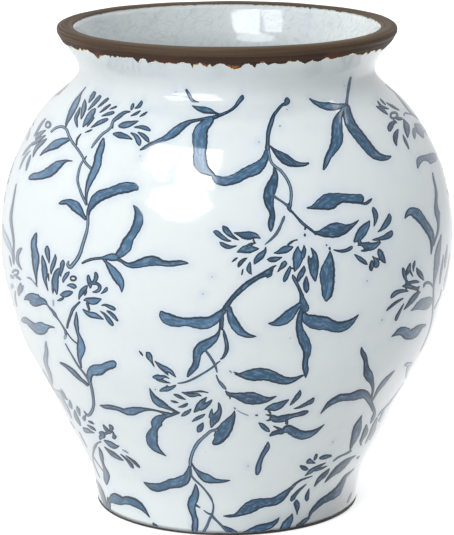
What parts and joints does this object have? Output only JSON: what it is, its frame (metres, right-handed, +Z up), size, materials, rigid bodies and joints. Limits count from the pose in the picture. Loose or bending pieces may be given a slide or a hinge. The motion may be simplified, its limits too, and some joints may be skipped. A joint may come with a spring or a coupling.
{
  "type": "pottery vase",
  "caption": "Full-bellied glazed pottery vase with a turned foot, short waisted neck, thick flared brown lip and blue leafy brushwork on white glaze.",
  "frame": {"origin": "middle of the foot, on the surface the vase stands on", "axes": "+Z up the axis of turning, -Y towards the viewer of the front, +X to that viewer's right"},
  "size_m": [0.2674, 0.2674, 0.2889],
  "materials": {
    "terracotta": "matte bare fired clay",
    "white_glaze": "glossy cool-white tin glaze, softly uneven, with fine crackle",
    "iron_slip": "satin dark brown iron slip, streaked by the wheel",
    "foot_clay": "matte dark slip"
  },
  "bodies": {
    "root": {"clay_body": "terracotta", "outer_glaze": "white_glaze", "inner_glaze": "white_glaze", "rim_slip": "iron_slip", "foot_slip": "foot_clay"}
  },
  "joints": []
}
